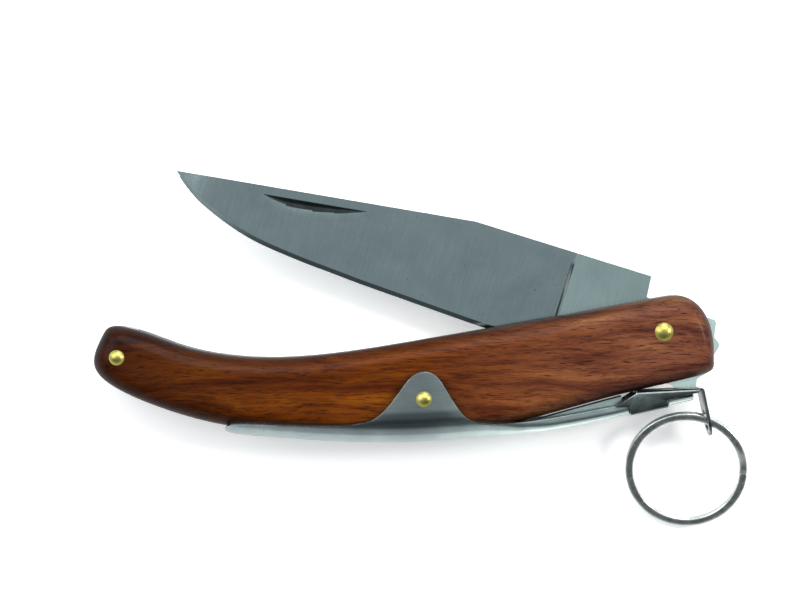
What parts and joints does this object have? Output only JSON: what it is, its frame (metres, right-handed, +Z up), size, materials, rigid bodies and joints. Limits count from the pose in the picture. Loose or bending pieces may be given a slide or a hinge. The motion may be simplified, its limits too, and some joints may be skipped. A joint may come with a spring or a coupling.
{
  "type": "grafting knife",
  "caption": "Folding knife with a curved wood handle, a pointed ratchet blade, a sheet back spring with a free arm, and a folded pull lever carrying a split ring.",
  "frame": {"origin": "bottom centre of the box around the whole knife lying on its side with the blade half open", "axes": "+X from the tail toward the blade pivot end, +Y toward the side the blade folds out of, +Z up across the handle"},
  "size_m": [0.1322, 0.0782, 0.0172],
  "materials": {
    "wood": "varnished",
    "blade_steel": "satin",
    "liner_steel": "plain",
    "spring_steel": "polished",
    "brass": "polished",
    "ring_steel": "nickel plated"
  },
  "bodies": {
    "handle": {"front_scale": "wood", "rear_scale": "wood", "front_liner": "liner_steel", "rear_liner": "liner_steel", "back_spacer": "liner_steel", "front_washer": "brass", "rear_washer": "brass", "pivot_pin": "brass", "tail_pin": "brass", "saddle_rivet": "brass", "back_spring": "spring_steel"},
    "blade": {"blade": "blade_steel"},
    "spring_arm": {"spring_arm": "spring_steel"},
    "pull_lever": {"pull_lever": "spring_steel"},
    "split_ring": {"split_ring": "ring_steel"}
  },
  "joints": [
    {"name": "blade_pivot", "type": "hinge", "parent": "handle", "child": "blade", "pos_m": [0.04909, 0.0017, 0.0084], "axis": [0, 0, 1], "range_deg": [-152, 20]},
    {"name": "spring_lift", "type": "hinge", "parent": "handle", "child": "spring_arm", "pos_m": [0.01449, -0.01715, 0.0084], "axis": [0, 0, -1], "range_deg": [0, 3], "stiffness_Nm_per_rad": 3, "springref_deg": -1.15},
    {"name": "lever_rock", "type": "hinge", "parent": "spring_arm", "child": "pull_lever", "pos_m": [0.05479, -0.0112, 0.0084], "axis": [0, 0, 1], "range_deg": [0, 6]},
    {"name": "ring_swing", "type": "hinge", "parent": "pull_lever", "child": "split_ring", "pos_m": [0.05786, -0.01677, 0.0084], "axis": [0.9239, -0.3827, 0], "range_deg": [-46, 12]}
  ]
}
